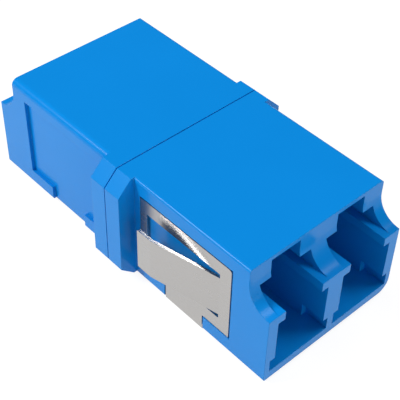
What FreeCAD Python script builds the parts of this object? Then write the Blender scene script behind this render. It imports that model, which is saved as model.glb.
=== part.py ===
import FreeCAD, Part
import os

# Duplex adapter for two pairs of small-form fibre plugs, with the body size
# that snaps into a 13.0 x 9.5 mm panel cut-out.
#
# Two moulded housing halves are welded face to face at the seam.  Each end
# has two plug ports side by side, a scooped notch that lets a finger reach
# the plugs' latch levers, and in its partition two tubes that hold the split
# ceramic sleeves.  A folded spring clip wraps the front half from below.
#
# Millimetres.  +X is across the ports, +Z is up, the front ports face -Y and
# the seam is the plane Y = 0.  The origin is under the middle of the seam, on
# the surface that the part stands on, which is the under side of the clip.

# Plug port
PORT_PITCH = 6.25          # centre to centre of the two ports
PLUG_WIDTH = 4.76          # tunnel for the plug body
PLUG_HEIGHT = 4.67
GUIDE_LIP = 0.63           # guide rails over the plug body, on both walls
GUIDE_HEIGHT = 0.76
LUG_SLOT_HEIGHT = 1.40     # room for the latch's two side lugs
LEVER_SLOT_WIDTH = 2.66    # room for the latch's lever
LEVER_SLOT_HEIGHT = 1.52
MOUTH_RELIEF_SIDE = 0.45   # low pocket beside the tunnel, at the mouth only
MOUTH_RELIEF_HEIGHT = 1.13
CHEEK_DEPTH = 2.17         # wall that the latch lugs catch behind

# Housing
SIDE_WALL = 0.895
FLOOR_WALL = 0.71
ROOF_WALL = 0.35
HALF_LENGTH = 14.87
NOTCH_RADIUS = 1.98        # scoop of the notch, down to the port's lip
PARTITION = 1.50           # half of the wall that separates front and rear
EDGE_BREAK = 0.12
FRONT_TOP_LEFT_RADIUS = 0.20
REAR_TOP_LEFT_RADIUS = 0.55
TOP_RIGHT_RADIUS = 0.30
LOW_RIGHT_RADIUS = 1.00

# Collar that meets the panel
COLLAR_PROUD = 1.40
COLLAR_HALF_DEPTH = 1.52
COLLAR_CORNER_WIDTH = 1.16
COLLAR_TOP_CORNER_HEIGHT = 1.20
COLLAR_LOW_CORNER_HEIGHT = 1.10
SEAM_GROOVE_WIDTH = 0.04    # on each half
SEAM_GROOVE_DEPTH = 0.12

# Sleeve holders and sleeves
SLEEVE_OUTER_RADIUS = 0.81
SLEEVE_BORE_RADIUS = 0.625  # for a 1.25 mm ferrule
SLEEVE_LENGTH = 6.80
SLEEVE_SLIT = 0.25
SLEEVE_PLAY = 0.09          # radial play, so that the sleeve can float
SLEEVE_END_PLAY = 0.10
HOLDER_WALL = 0.60
HOLDER_LIP = 0.80           # end wall that keeps the sleeve in
FERRULE_ENTRY_RADIUS = 0.72 # at the sleeve's end, less than the sleeve's outside
FERRULE_ENTRY_FLARE = 0.26  # how much wider the lead-in is at its mouth
HOLDER_RIM_CHAMFER = 0.18

# Weld pin and socket, one of each on either half
PIN_RADIUS = 0.45
PIN_LENGTH = 0.90
PIN_PLAY = 0.06
PIN_FROM_ROOF = 1.70
PIN_FROM_SIDE = 1.20

# Spring clip and its seat
CLIP_THICKNESS = 0.22
CLIP_SINK = 0.05            # side plates below the housing's sides
CLIP_BEND_RADIUS = 0.08     # inside of the fold
FOLD_PLAY = 0.04            # between the end of the fold and the housing's under side
CLIP_START = 2.11           # from the seam
CLIP_LENGTH = 9.14
CLIP_TOP_GAP = 1.43         # below the roof's upper face
CLIP_FOOT_GAP = 1.26        # above the housing's under side
CLIP_PLAY = 0.17            # round the plate, in its seat
CLIP_FOOT_PLAY = 0.05
CLIP_CORNER_RADIUS = 0.25
ARM_WIDTH = 0.69            # upright at the collar end of the plate
ROOF_STRIP = 1.15           # plate above the window
FOOT_STRIP = 1.17           # plate below the window
WEB_START = 4.76            # strap under the housing
WEB_WIDTH = 3.85
WEB_PLAY = 0.15
WINDOW_ROOT = 1.04          # plate left beyond the window's closed end
TONGUE_SLIT_ABOVE = 0.38
TONGUE_SLIT_BELOW = 0.38
TONGUE_FLARE = 1.25         # how far the tongue's tip stands off the plate
TONGUE_TIP_GAP = 1.09       # tip to the plate's collar end
TONGUE_TIP_LENGTH = 1.38    # last stretch, bent parallel with the plate
TONGUE_BEND_RADIUS = 0.60
TONGUE_CORNER_RADIUS = 0.10
SLIT_END_RADIUS = 0.10

# Levels and widths that follow
BODY_BOTTOM = CLIP_THICKNESS + CLIP_BEND_RADIUS + FOLD_PLAY
FLOOR = BODY_BOTTOM + FLOOR_WALL
GUIDE_BOTTOM = FLOOR + PLUG_HEIGHT
GUIDE_TOP = GUIDE_BOTTOM + GUIDE_HEIGHT
LUG_SLOT_TOP = GUIDE_TOP + LUG_SLOT_HEIGHT
LEVER_SLOT_TOP = LUG_SLOT_TOP + LEVER_SLOT_HEIGHT
BODY_TOP = LEVER_SLOT_TOP + ROOF_WALL
BODY_HALF_WIDTH = (PORT_PITCH + PLUG_WIDTH) / 2 + SIDE_WALL
COLLAR_HALF_WIDTH = BODY_HALF_WIDTH + COLLAR_PROUD
CLIP_HALF_WIDTH = BODY_HALF_WIDTH - CLIP_SINK
SEAT_HALF_WIDTH = CLIP_HALF_WIDTH - CLIP_THICKNESS
PORT_CENTRES = (-PORT_PITCH / 2, PORT_PITCH / 2)
FERRULE_AXIS = FLOOR + PLUG_HEIGHT / 2
NOTCH_FACE = HALF_LENGTH - NOTCH_RADIUS
NOTCH_ARC_CENTRE = GUIDE_TOP + NOTCH_RADIUS
CATCH_FACE = NOTCH_FACE - CHEEK_DEPTH
HOLDER_BORE_RADIUS = SLEEVE_OUTER_RADIUS + SLEEVE_PLAY
HOLDER_OUTER_RADIUS = HOLDER_BORE_RADIUS + HOLDER_WALL
HOLDER_BORE_DEPTH = SLEEVE_LENGTH / 2 + SLEEVE_END_PLAY
HOLDER_END = HOLDER_BORE_DEPTH + HOLDER_LIP
OVERCUT = 1.0               # how far a cutter runs past the face it opens


def point(x, y, z):
    return FreeCAD.Vector(x, y, z)


def block(x_low, x_high, y_low, y_high, z_low, z_high):
    corner = point(x_low, y_low, z_low)
    return Part.makeBox(x_high - x_low, y_high - y_low, z_high - z_low, corner)


def outline_face(corners):
    return Part.Face(Part.makePolygon(corners + corners[:1]))


def rod_along_y(radius, y_low, y_high, x, z):
    return Part.makeCylinder(radius, y_high - y_low, point(x, y_low, z), point(0, 1, 0))


def edges_where(shape, test):
    return [edge for edge in shape.Edges if test(edge.BoundBox)]


def along_y(box, x, z):
    """True for an edge that runs along Y at the given place."""
    flat = box.XLength < 1e-6 and box.ZLength < 1e-6
    return flat and abs(box.XMin - x) < 1e-6 and abs(box.ZMin - z) < 1e-6


# ---------------------------------------------------------------- housing

def body_block(top_left, top_right):
    """One half of the outer body, rounded along its length."""
    solid = block(-BODY_HALF_WIDTH, BODY_HALF_WIDTH, COLLAR_HALF_DEPTH / 2, HALF_LENGTH,
                  BODY_BOTTOM, BODY_TOP)
    roundings = (
        (-BODY_HALF_WIDTH, BODY_TOP, top_left),
        (BODY_HALF_WIDTH, BODY_TOP, top_right),
        (BODY_HALF_WIDTH, BODY_BOTTOM, LOW_RIGHT_RADIUS),
        (-BODY_HALF_WIDTH, BODY_BOTTOM, EDGE_BREAK),
    )
    for x, z, radius in roundings:
        edges = edges_where(solid, lambda box: along_y(box, x, z))
        solid = solid.makeFillet(radius, edges)
    return solid


def collar_block():
    """Half of the collar: eight-sided, with half of the seam groove round its face."""
    outer = COLLAR_HALF_WIDTH
    inner = COLLAR_HALF_WIDTH - COLLAR_CORNER_WIDTH
    low = BODY_BOTTOM + COLLAR_LOW_CORNER_HEIGHT
    high = BODY_TOP - COLLAR_TOP_CORNER_HEIGHT
    corners = [
        point(-inner, 0, BODY_BOTTOM), point(inner, 0, BODY_BOTTOM),
        point(outer, 0, low), point(outer, 0, high),
        point(inner, 0, BODY_TOP), point(-inner, 0, BODY_TOP),
        point(-outer, 0, high), point(-outer, 0, low),
    ]
    outline = outline_face(corners)
    seam_face = outline.makeOffset2D(-SEAM_GROOVE_DEPTH, join=2)
    outline.translate(point(0, SEAM_GROOVE_WIDTH, 0))
    solid = outline.extrude(point(0, COLLAR_HALF_DEPTH - SEAM_GROOVE_WIDTH, 0))
    return solid.fuse(seam_face.extrude(point(0, SEAM_GROOVE_WIDTH, 0)))


def notch_cutter():
    """Scoop across the end: an upright face under the roof, then a quarter round."""
    side = BODY_HALF_WIDTH + OVERCUT
    top = BODY_TOP + OVERCUT
    scoop_low = point(-side, HALF_LENGTH, NOTCH_ARC_CENTRE - NOTCH_RADIUS)
    scoop_high = point(-side, NOTCH_FACE, NOTCH_ARC_CENTRE)
    halfway = NOTCH_RADIUS * 0.5 ** 0.5
    scoop_mid = point(-side, HALF_LENGTH - halfway, NOTCH_ARC_CENTRE - halfway)
    out_low = point(-side, HALF_LENGTH + OVERCUT, scoop_low.z)
    out_high = point(-side, HALF_LENGTH + OVERCUT, top)
    in_high = point(-side, NOTCH_FACE, top)
    wire = Part.Wire([
        Part.Arc(scoop_high, scoop_mid, scoop_low).toShape(),
        Part.makeLine(scoop_low, out_low),
        Part.makeLine(out_low, out_high),
        Part.makeLine(out_high, in_high),
        Part.makeLine(in_high, scoop_high),
    ])
    return Part.Face(wire).extrude(point(2 * side, 0, 0))


def port_section(centre, y, upper_half_width, relief):
    """Stepped outline of a port: tunnel, guide rails, lug slot and upper slot."""
    tunnel = PLUG_WIDTH / 2
    guide = tunnel - GUIDE_LIP
    right = [
        (tunnel + relief, FLOOR),
        (tunnel + relief, FLOOR + MOUTH_RELIEF_HEIGHT),
        (tunnel, FLOOR + MOUTH_RELIEF_HEIGHT),
        (tunnel, GUIDE_BOTTOM),
        (guide, GUIDE_BOTTOM),
        (guide, GUIDE_TOP),
        (tunnel, GUIDE_TOP),
        (tunnel, LUG_SLOT_TOP),
        (upper_half_width, LUG_SLOT_TOP),
        (upper_half_width, LEVER_SLOT_TOP),
    ]
    if relief == 0:
        right = right[:1] + right[3:]
    if upper_half_width == tunnel:
        right = right[:-3] + right[-1:]
    left = [(-x, z) for x, z in reversed(right)]
    return outline_face([point(centre + x, y, z) for x, z in right + left])


def port_cutter(centre):
    """Port from its mouth to the partition, wider behind the latch cheeks."""
    lever = LEVER_SLOT_WIDTH / 2
    tunnel = PLUG_WIDTH / 2
    mouth = port_section(centre, NOTCH_FACE, lever, MOUTH_RELIEF_SIDE)
    throat = port_section(centre, CATCH_FACE, lever, 0)
    chamber = port_section(centre, PARTITION, tunnel, 0)
    cutter = mouth.extrude(point(0, NOTCH_RADIUS + OVERCUT, 0))
    cutter = cutter.fuse(throat.extrude(point(0, CHEEK_DEPTH + OVERCUT, 0)))
    return cutter.fuse(chamber.extrude(point(0, CATCH_FACE - PARTITION, 0)))


def holder_tube(centre):
    """Tube that stands from the partition into the port, round the sleeve."""
    tube = rod_along_y(HOLDER_OUTER_RADIUS, PARTITION / 2, HOLDER_END, centre, FERRULE_AXIS)
    rim = edges_where(tube, lambda box: box.YMin > HOLDER_END - 1e-6)
    return tube.makeChamfer(HOLDER_RIM_CHAMFER, rim)


def holder_bore(centre):
    """Bore for the floating sleeve, and the funnel through its end lip that leads the ferrule in."""
    bore = rod_along_y(HOLDER_BORE_RADIUS, -OVERCUT, HOLDER_BORE_DEPTH, centre, FERRULE_AXIS)
    funnel = Part.makeCone(FERRULE_ENTRY_RADIUS, FERRULE_ENTRY_RADIUS + FERRULE_ENTRY_FLARE,
                           HOLDER_LIP, point(centre, HOLDER_BORE_DEPTH, FERRULE_AXIS),
                           point(0, 1, 0))
    return bore.fuse(funnel)


def clip_seat():
    """Shallow recess for the clip's side plates, open downwards for its strap."""
    start = CLIP_START
    end = CLIP_START + CLIP_LENGTH + CLIP_PLAY
    low = BODY_BOTTOM + CLIP_FOOT_GAP - CLIP_FOOT_PLAY
    high = BODY_TOP - CLIP_TOP_GAP + CLIP_PLAY
    strap_low = WEB_START - WEB_PLAY / 2
    strap_high = WEB_START + WEB_WIDTH + WEB_PLAY
    strap_top = low + CLIP_FOOT_PLAY
    cutters = []
    for side in (-1, 1):
        floor = side * SEAT_HALF_WIDTH
        past = side * (BODY_HALF_WIDTH + OVERCUT)
        x_low, x_high = sorted((floor, past))
        cutters.append(block(x_low, x_high, start, end, low, high))
        cutters.append(block(x_low, x_high, strap_low, strap_high, 0, strap_top))
    return cutters


def weld_pin():
    x = -(BODY_HALF_WIDTH - PIN_FROM_SIDE)
    return rod_along_y(PIN_RADIUS, -PIN_LENGTH, PARTITION / 2, x, BODY_TOP - PIN_FROM_ROOF)


def weld_socket():
    x = BODY_HALF_WIDTH - PIN_FROM_SIDE
    return rod_along_y(PIN_RADIUS + PIN_PLAY, -OVERCUT, PIN_LENGTH + PIN_PLAY, x,
                       BODY_TOP - PIN_FROM_ROOF)


def housing_half(top_left, top_right, pin_side):
    """One half, built towards +Y, with its weld pin on the left (-1) or right (+1)."""
    solid = body_block(top_left, top_right).fuse(collar_block())
    solid = solid.cut(notch_cutter())
    solid = solid.cut([port_cutter(centre) for centre in PORT_CENTRES])
    solid = solid.fuse([holder_tube(centre) for centre in PORT_CENTRES])
    solid = solid.cut([holder_bore(centre) for centre in PORT_CENTRES])
    solid = solid.cut(clip_seat())
    pin = weld_pin()
    socket = weld_socket()
    if pin_side > 0:
        pin = pin.mirror(point(0, 0, 0), point(1, 0, 0))
        socket = socket.mirror(point(0, 0, 0), point(1, 0, 0))
    return solid.cut(socket).fuse(pin).removeSplitter()


def to_front(shape):
    return shape.mirror(point(0, 0, 0), point(0, 1, 0))


# ---------------------------------------------------------------- sleeves

def split_sleeve(centre):
    """Ceramic sleeve with one slit along its length, at the top."""
    half = SLEEVE_LENGTH / 2
    tube = rod_along_y(SLEEVE_OUTER_RADIUS, -half, half, centre, FERRULE_AXIS)
    tube = tube.cut(rod_along_y(SLEEVE_BORE_RADIUS, -half - OVERCUT, half + OVERCUT, centre,
                                FERRULE_AXIS))
    slit = block(centre - SLEEVE_SLIT / 2, centre + SLEEVE_SLIT / 2, -half - OVERCUT,
                 half + OVERCUT, FERRULE_AXIS, FERRULE_AXIS + 2 * SLEEVE_OUTER_RADIUS)
    return tube.cut(slit)


# ---------------------------------------------------------------- clip

def clip_window():
    """Outline of the cut that frees the tongue, in the plate's plane."""
    start = CLIP_START + ARM_WIDTH
    end = CLIP_START + CLIP_LENGTH - WINDOW_ROOT
    low = BODY_BOTTOM + CLIP_FOOT_GAP + FOOT_STRIP
    high = BODY_TOP - CLIP_TOP_GAP - ROOF_STRIP
    return start, end, low, high


def clip_plate():
    """Flat side plate with its window and slits, on the right-hand side."""
    inner = SEAT_HALF_WIDTH
    outer = CLIP_HALF_WIDTH
    plate_end = CLIP_START + CLIP_LENGTH
    foot = BODY_BOTTOM + CLIP_FOOT_GAP
    top = BODY_TOP - CLIP_TOP_GAP
    plate = block(inner, outer, CLIP_START, plate_end, foot, top)
    far_top = edges_where(plate, lambda box: box.YMin > plate_end - 1e-6 and box.ZMin > top - 1e-6)
    plate = plate.makeFillet(CLIP_CORNER_RADIUS, far_top)
    start, end, low, high = clip_window()
    window = block(inner - OVERCUT, outer + OVERCUT, start, end, low, high)
    root_edges = edges_where(window, lambda box: box.YMin > end - 1e-6 and box.YLength < 1e-6
                             and box.XLength > CLIP_THICKNESS)
    window = window.makeFillet(SLIT_END_RADIUS, root_edges)
    return plate.cut(window)


def clip_tongue():
    """Spring tongue: flares out from its root, then runs parallel to its tip."""
    start, end, low, high = clip_window()
    tip = CLIP_START + TONGUE_TIP_GAP
    kink = tip + TONGUE_TIP_LENGTH
    inner = SEAT_HALF_WIDTH
    outer = CLIP_HALF_WIDTH
    rise = TONGUE_FLARE / (end - kink)
    lean = (1 + rise ** 2) ** 0.5
    back_off = CLIP_THICKNESS * (lean - 1) / rise
    anchor = end + WINDOW_ROOT / 2
    bottom = low + TONGUE_SLIT_BELOW
    corners = [
        (outer, anchor), (outer, end), (outer + TONGUE_FLARE, kink), (outer + TONGUE_FLARE, tip),
        (inner + TONGUE_FLARE, tip), (inner + TONGUE_FLARE, kink + back_off),
        (inner, end + back_off), (inner, anchor),
    ]
    strip = outline_face([point(x, y, bottom) for x, y in corners])
    height = high - TONGUE_SLIT_ABOVE - bottom
    tongue = strip.extrude(point(0, 0, height))

    def upright_at(x, y):
        return edges_where(tongue, lambda box: box.ZLength > CLIP_THICKNESS
                           and abs(box.XMin - x) < 1e-6 and abs(box.YMin - y) < 1e-6)

    near = TONGUE_BEND_RADIUS
    far = TONGUE_BEND_RADIUS + CLIP_THICKNESS
    tongue = tongue.makeFillet(near, upright_at(outer, end)
                               + upright_at(inner + TONGUE_FLARE, kink + back_off))
    tongue = tongue.makeFillet(far, upright_at(outer + TONGUE_FLARE, kink)
                               + upright_at(inner, end + back_off))
    tip_corners = edges_where(tongue, lambda box: box.YMax < tip + 1e-6
                              and box.XLength > 0 and box.ZLength < 1e-6)
    return tongue.makeFillet(TONGUE_CORNER_RADIUS, tip_corners)


def clip_strap():
    """Strap under the housing with its two folds up into the side plates."""
    outer = CLIP_HALF_WIDTH
    inner = SEAT_HALF_WIDTH
    rise = BODY_BOTTOM + CLIP_FOOT_GAP + FOOT_STRIP / 2
    end = WEB_START + WEB_WIDTH
    outside = block(-outer, outer, WEB_START, end, 0, rise)
    inside = block(-inner, inner, WEB_START, end, CLIP_THICKNESS, rise)
    outside = outside.makeFillet(
        CLIP_BEND_RADIUS + CLIP_THICKNESS,
        edges_where(outside, lambda box: box.YLength > CLIP_THICKNESS and box.ZMax < 1e-6))
    inside = inside.makeFillet(
        CLIP_BEND_RADIUS,
        edges_where(inside, lambda box: box.YLength > CLIP_THICKNESS
                    and box.ZMax < CLIP_THICKNESS + 1e-6))
    return outside.cut(inside)


def panel_clip():
    """The clip as one folded sheet, built towards +Y."""
    right = clip_plate().fuse(clip_tongue())
    left = right.mirror(point(0, 0, 0), point(1, 0, 0))
    return clip_strap().fuse([right, left]).removeSplitter()


# ---------------------------------------------------------------- parts

def all_parts():
    left, right = PORT_CENTRES
    front = housing_half(FRONT_TOP_LEFT_RADIUS, TOP_RIGHT_RADIUS, -1)
    rear = housing_half(REAR_TOP_LEFT_RADIUS, TOP_RIGHT_RADIUS, 1)
    return {
        "front_housing": to_front(front),
        "rear_housing": rear,
        "panel_clip": to_front(panel_clip()),
        "split_sleeve_left": split_sleeve(left),
        "split_sleeve_right": split_sleeve(right),
    }


os.makedirs("parts", exist_ok=True)
for name, shape in all_parts().items():
    shape.exportStep("parts/" + name + ".step")
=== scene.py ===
import math

import bpy
from mathutils import Matrix, Vector


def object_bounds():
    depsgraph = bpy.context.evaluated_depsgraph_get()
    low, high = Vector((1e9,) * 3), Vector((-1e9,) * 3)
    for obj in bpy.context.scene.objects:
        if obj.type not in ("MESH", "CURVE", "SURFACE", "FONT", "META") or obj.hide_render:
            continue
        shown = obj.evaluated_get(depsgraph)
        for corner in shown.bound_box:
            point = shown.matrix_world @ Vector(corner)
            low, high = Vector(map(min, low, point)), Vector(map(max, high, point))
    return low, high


bl_info = {
    "name": "Duplex fibre adapter",
    "version": (1, 0, 0),
    "blender": (4, 5, 0),
    "location": "3D View > Sidebar > Adapter",
    "description": "Finishes a duplex fibre adapter and its stage",
    "category": "Object",
}

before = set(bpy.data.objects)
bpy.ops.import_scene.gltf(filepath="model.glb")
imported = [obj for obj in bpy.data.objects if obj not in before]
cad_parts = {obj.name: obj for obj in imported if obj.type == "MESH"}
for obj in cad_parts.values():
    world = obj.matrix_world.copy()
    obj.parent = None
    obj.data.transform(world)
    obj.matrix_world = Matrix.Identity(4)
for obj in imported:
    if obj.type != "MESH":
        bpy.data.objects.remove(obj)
cad_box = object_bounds()

MM = 0.001

# Roughness of each surface, from its smoothest to its roughest spots.
MOULDED_ROUGHNESS = (0.20, 0.25)
STRIP_ROUGHNESS = (0.22, 0.30)
GROUND_ROUGHNESS = (0.14, 0.22)

LINE_STRETCH = 0.04    # pattern's scale along the strip's rolling direction, so the lines are long

FLOOR_SIZE = 4.0       # m, side of the paper
PAPER_GLOW = 1.12      # radiance of the paper where the eye or a gloss sees it
PAPER_SHARE = 0.8      # how much of that is glow, the rest being lit paper

SENSOR_WIDTH = 36.0    # mm
CLIP_RANGE = (0.005, 10.0)          # m, the nearest and farthest that the camera sees
AIM_MM = (-0.180, -1.576, 3.755)    # the point that the camera aims at

LAMP_DISTANCE = 0.30   # m, from the adapter's middle to every lamp
# Each lamp's name, azimuth and elevation in degrees, width and height in m, and strength setting.
LAMPS = (
    ("key_lamp", -126, 41, 0.09, 0.09, "key_strength"),
    ("side_lamp", -90, 15, 0.12, 0.12, "side_strength"),
    ("front_lamp", 0, 12, 0.30, 0.10, "front_strength"),
    ("far_lamp", 60, 65, 0.12, 0.12, "far_strength"),
    ("back_lamp", 180, 80, 0.12, 0.12, "back_strength"),
)


# ---------------------------------------------------------------- helpers

def linear(hex_colour):
    """An sRGB hex colour as linear red, green, blue and alpha."""
    channels = [int(hex_colour[i:i + 2], 16) / 255 for i in (1, 3, 5)]
    values = [c / 12.92 if c <= 0.04045 else ((c + 0.055) / 1.055) ** 2.4 for c in channels]
    return values + [1.0]


def add_node(tree, kind, inputs=None, **settings):
    """Adds a node, sets its properties, and sets or links its inputs by name or number."""
    node = tree.nodes.new(kind)
    for name, value in settings.items():
        setattr(node, name, value)
    for key, value in (inputs or {}).items():
        if isinstance(value, bpy.types.NodeSocket):
            tree.links.new(value, node.inputs[key])
        else:
            node.inputs[key].default_value = value
    return node


def new_material(name):
    """An empty node material and its tree."""
    material = bpy.data.materials.new(name)
    material.use_nodes = True
    material.node_tree.nodes.clear()
    return material, material.node_tree


def roughness(tree, pattern, limits):
    """A roughness that follows a pattern from 0 to 1 between two limits."""
    mapped = add_node(tree, "ShaderNodeMapRange",
                      {"Value": pattern, "To Min": limits[0], "To Max": limits[1]})
    return mapped.outputs["Result"]


def put_on_node(name, material):
    """Every slot of a CAD node takes the material."""
    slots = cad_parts[name].data.materials
    for index in range(len(slots)):
        slots[index] = material


# ---------------------------------------------------------------- materials

def moulded_blue(look):
    """Injection-moulded polyester, satin.

    To the eye it is one deep even blue with a soft sheen: the tool's fine spark-eroded
    surface spreads the highlights, and the flow of the melt leaves a faint cloudiness.
    """
    material, tree = new_material("moulded_polyester_satin_blue")
    place = add_node(tree, "ShaderNodeTexCoord").outputs["Object"]
    clouds = add_node(tree, "ShaderNodeTexNoise",
                      {"Vector": place, "Scale": 1 / look.cloud_size, "Detail": 2.0})
    tint = add_node(tree, "ShaderNodeMix", {
        "Factor": clouds.outputs["Fac"], "A": linear("#0584D6"), "B": linear("#0788DC")},
        data_type="RGBA")
    grain = add_node(tree, "ShaderNodeTexNoise",
                     {"Vector": place, "Scale": 1 / look.grain_size, "Detail": 3.0})
    edge = add_node(tree, "ShaderNodeBevel", {"Radius": look.mould_edge}, samples=6)
    relief = add_node(tree, "ShaderNodeBump", {
        "Height": grain.outputs["Fac"], "Strength": 0.10, "Distance": 0.01 * MM,
        "Normal": edge.outputs["Normal"]})
    shader = add_node(tree, "ShaderNodeBsdfPrincipled", {
        "Base Color": tint.outputs["Result"],
        "Roughness": roughness(tree, clouds.outputs["Fac"], MOULDED_ROUGHNESS),
        "IOR": 1.46, "Specular IOR Level": 0.175, "Normal": relief.outputs["Normal"]})
    add_node(tree, "ShaderNodeOutputMaterial", {"Surface": shader.outputs["BSDF"]})
    return material


def rolled_steel(look):
    """Cold-rolled stainless spring strip.

    To the eye it is a plain light grey that mirrors its surroundings softly, drawn out
    along the rolling direction by fine parallel lines.
    """
    material, tree = new_material("stainless_spring_strip_rolled")
    place = add_node(tree, "ShaderNodeTexCoord").outputs["Object"]
    drawn = add_node(tree, "ShaderNodeMapping", {"Vector": place, "Scale": (1, LINE_STRETCH, 1)})
    lines = add_node(tree, "ShaderNodeTexNoise", {
        "Vector": drawn.outputs["Vector"], "Scale": 1 / look.line_width, "Detail": 2.0})
    relief = add_node(tree, "ShaderNodeBump", {
        "Height": lines.outputs["Fac"], "Strength": 0.10, "Distance": 0.004 * MM})
    shader = add_node(tree, "ShaderNodeBsdfPrincipled", {
        "Base Color": linear("#B3B1AF"), "Metallic": 1.0,
        "Roughness": roughness(tree, lines.outputs["Fac"], STRIP_ROUGHNESS),
        "Normal": relief.outputs["Normal"]})
    add_node(tree, "ShaderNodeOutputMaterial", {"Surface": shader.outputs["BSDF"]})
    return material


def ground_zirconia(look):
    """Zirconia ceramic, ground.

    To the eye it is a dense warm white with a tight gloss.
    """
    material, tree = new_material("zirconia_ceramic_ground")
    place = add_node(tree, "ShaderNodeTexCoord").outputs["Object"]
    marks = add_node(tree, "ShaderNodeTexNoise",
                     {"Vector": place, "Scale": 1 / look.mark_size, "Detail": 2.0})
    shader = add_node(tree, "ShaderNodeBsdfPrincipled", {
        "Base Color": linear("#F0EFEA"),
        "Roughness": roughness(tree, marks.outputs["Fac"], GROUND_ROUGHNESS), "IOR": 2.1})
    add_node(tree, "ShaderNodeOutputMaterial", {"Surface": shader.outputs["BSDF"]})
    return material


def stage_white():
    """Matt white paper that glows for the camera and for glossy surfaces, so it looks even."""
    material, tree = new_material("stage_paper_white")
    paper = add_node(tree, "ShaderNodeBsdfDiffuse", {"Color": linear("#F2F2F2")})
    glow = add_node(tree, "ShaderNodeEmission", {"Color": (1, 1, 1, 1), "Strength": PAPER_GLOW})
    rays = add_node(tree, "ShaderNodeLightPath")
    seen = add_node(tree, "ShaderNodeMath", {
        0: rays.outputs["Is Camera Ray"], 1: rays.outputs["Is Glossy Ray"]}, operation="MAXIMUM")
    share = add_node(tree, "ShaderNodeMath", {0: seen.outputs["Value"], 1: PAPER_SHARE},
                     operation="MULTIPLY")
    surface = add_node(tree, "ShaderNodeMixShader", {
        0: share.outputs["Value"], 1: paper.outputs["BSDF"], 2: glow.outputs["Emission"]})
    add_node(tree, "ShaderNodeOutputMaterial", {"Surface": surface.outputs["Shader"]})
    return material


# ---------------------------------------------------------------- settings

class FinishSizes(bpy.types.PropertyGroup):
    """Real sizes of the surface patterns."""

    cloud_size: bpy.props.FloatProperty(
        name="Flow clouds", description="Size of the faint clouds that the melt's flow leaves",
        default=6 * MM, unit="LENGTH", subtype="DISTANCE")
    grain_size: bpy.props.FloatProperty(
        name="Mould grain", description="Grain of the eroded mould, drawn coarser than it is",
        default=0.25 * MM, unit="LENGTH", subtype="DISTANCE")
    mould_edge: bpy.props.FloatProperty(
        name="Moulded edge", description="Rounding that the eye sees on a moulded edge",
        default=0.06 * MM, unit="LENGTH", subtype="DISTANCE")
    line_width: bpy.props.FloatProperty(
        name="Rolling lines", description="Spacing of the strip's rolling lines",
        default=0.12 * MM, unit="LENGTH", subtype="DISTANCE")
    mark_size: bpy.props.FloatProperty(
        name="Grinding marks", description="Size of the sleeve's grinding marks",
        default=0.2 * MM, unit="LENGTH", subtype="DISTANCE")


class StageSettings(bpy.types.PropertyGroup):
    """Camera and lamps."""

    azimuth: bpy.props.FloatProperty(
        name="Azimuth", description="Camera's turn round the adapter, 0 looks along +Y",
        default=math.radians(-43.44), subtype="ANGLE")
    elevation: bpy.props.FloatProperty(
        name="Elevation", description="Camera's height above the horizon",
        default=math.radians(43.95), subtype="ANGLE")
    roll: bpy.props.FloatProperty(
        name="Roll", description="Camera's turn about its own axis",
        default=math.radians(1.63), subtype="ANGLE")
    distance: bpy.props.FloatProperty(
        name="Distance", description="Camera to the point it aims at",
        default=77.13 * MM, unit="LENGTH", subtype="DISTANCE")
    lens: bpy.props.FloatProperty(
        name="Lens", description="Focal length on a 36 mm sensor", default=92.62)
    key_strength: bpy.props.FloatProperty(
        name="Key", description="Radiance of the high lamp at the left", default=25.4)
    side_strength: bpy.props.FloatProperty(
        name="Side", description="Radiance of the low lamp at the left", default=1.2)
    front_strength: bpy.props.FloatProperty(
        name="Front", description="Radiance of the low lamp in front", default=3.0)
    far_strength: bpy.props.FloatProperty(
        name="Far", description="Radiance of the high lamp at the right", default=6.6)
    back_strength: bpy.props.FloatProperty(
        name="Back", description="Radiance of the high lamp behind", default=3.4)
    room: bpy.props.FloatProperty(
        name="Room", description="Radiance of the room all round", default=0.10)


# ---------------------------------------------------------------- stage

def aim_matrix(position, target, roll=0.0):
    """Turns an object at position to look at target, with a roll about its own axis."""
    turn = (target - position).to_track_quat("-Z", "Y").to_matrix().to_4x4()
    return Matrix.Translation(position) @ turn @ Matrix.Rotation(roll, 4, "Z")


def direction(azimuth, elevation):
    """Unit vector from the adapter towards a viewer or lamp at these angles."""
    level = math.cos(elevation)
    return Vector((math.sin(azimuth) * level, -math.cos(azimuth) * level, math.sin(elevation)))


def add_lamp(name, azimuth, elevation, width, height, radiance, target):
    """A flat soft lamp that faces the target and whose face has the given radiance."""
    data = bpy.data.lights.new(name, "AREA")
    data.shape = "RECTANGLE"
    data.size = width
    data.size_y = height
    data.energy = radiance * math.pi * width * height
    lamp = bpy.data.objects.new(name, data)
    bpy.context.scene.collection.objects.link(lamp)
    towards_lamp = direction(math.radians(azimuth), math.radians(elevation))
    position = target + LAMP_DISTANCE * towards_lamp
    lamp.matrix_world = aim_matrix(position, target)


# ---------------------------------------------------------------- operators

class ADAPTER_OT_finish_housings(bpy.types.Operator):
    """Gives both housing halves their moulded finish"""

    bl_idname = "adapter.finish_housings"
    bl_label = "Finish Housings"

    def execute(self, context):
        material = moulded_blue(context.scene.adapter_finish)
        for name in ("front_housing", "rear_housing"):
            put_on_node(name, material)
        return {"FINISHED"}


class ADAPTER_OT_finish_clip(bpy.types.Operator):
    """Gives the panel clip its rolled steel finish"""

    bl_idname = "adapter.finish_clip"
    bl_label = "Finish Clip"

    def execute(self, context):
        put_on_node("panel_clip", rolled_steel(context.scene.adapter_finish))
        return {"FINISHED"}


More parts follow.
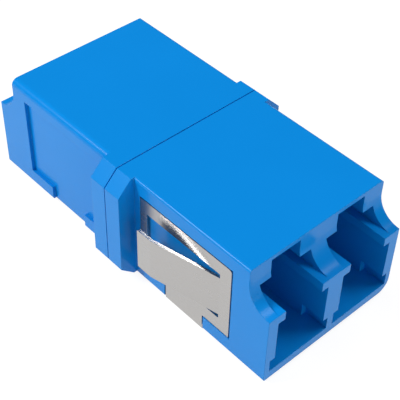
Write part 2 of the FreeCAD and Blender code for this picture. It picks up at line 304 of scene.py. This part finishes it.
class ADAPTER_OT_finish_sleeves(bpy.types.Operator):
    """Gives the two split sleeves their ceramic finish"""

    bl_idname = "adapter.finish_sleeves"
    bl_label = "Finish Sleeves"

    def execute(self, context):
        material = ground_zirconia(context.scene.adapter_finish)
        for name in ("split_sleeve_left", "split_sleeve_right"):
            put_on_node(name, material)
        return {"FINISHED"}


class ADAPTER_OT_set_stage(bpy.types.Operator):
    """Lays the floor, hangs the lamps and sets the camera"""

    bl_idname = "adapter.set_stage"
    bl_label = "Set Stage"

    def execute(self, context):
        settings = context.scene.adapter_stage
        low, high = cad_box
        middle = (Vector(low) + Vector(high)) / 2

        bpy.ops.mesh.primitive_plane_add(size=FLOOR_SIZE, location=(0, 0, 0))
        floor = context.object
        floor.name = "stage_floor"
        floor.data.materials.append(stage_white())

        for name, azimuth, elevation, width, height, strength in LAMPS:
            add_lamp(name, azimuth, elevation, width, height, getattr(settings, strength), middle)

        world = bpy.data.worlds.new("studio_room")
        world.use_nodes = True
        background = world.node_tree.nodes["Background"].inputs
        background["Color"].default_value = (1, 1, 1, 1)
        background["Strength"].default_value = settings.room
        context.scene.world = world

        data = bpy.data.cameras.new("camera")
        data.sensor_width = SENSOR_WIDTH
        data.lens = settings.lens
        data.clip_start, data.clip_end = CLIP_RANGE
        camera = bpy.data.objects.new("camera", data)
        context.scene.collection.objects.link(camera)
        aim = Vector(AIM_MM) * MM
        position = aim + settings.distance * direction(settings.azimuth, settings.elevation)
        camera.matrix_world = aim_matrix(position, aim, settings.roll)
        context.scene.camera = camera
        context.scene.view_settings.view_transform = "Standard"
        return {"FINISHED"}


class ADAPTER_PT_build(bpy.types.Panel):
    """Lists the steps that finish the adapter and set its stage"""

    bl_label = "Fibre Adapter"
    bl_idname = "ADAPTER_PT_build"
    bl_space_type = "VIEW_3D"
    bl_region_type = "UI"
    bl_category = "Adapter"

    def draw(self, context):
        for step in STEPS:
            self.layout.operator(step.bl_idname)
        for group in (context.scene.adapter_finish, context.scene.adapter_stage):
            box = self.layout.box()
            for name in group.__annotations__:
                box.prop(group, name)


STEPS = (
    ADAPTER_OT_finish_housings,
    ADAPTER_OT_finish_clip,
    ADAPTER_OT_finish_sleeves,
    ADAPTER_OT_set_stage,
)
CLASSES = (FinishSizes, StageSettings) + STEPS + (ADAPTER_PT_build,)


def register():
    for cls in CLASSES:
        bpy.utils.register_class(cls)
    bpy.types.Scene.adapter_finish = bpy.props.PointerProperty(type=FinishSizes)
    bpy.types.Scene.adapter_stage = bpy.props.PointerProperty(type=StageSettings)


def unregister():
    del bpy.types.Scene.adapter_stage
    del bpy.types.Scene.adapter_finish
    for cls in reversed(CLASSES):
        bpy.utils.unregister_class(cls)


def main():
    register()
    bpy.ops.adapter.finish_housings()
    bpy.ops.adapter.finish_clip()
    bpy.ops.adapter.finish_sleeves()
    bpy.ops.adapter.set_stage()


if __name__ == "__main__":
    main()
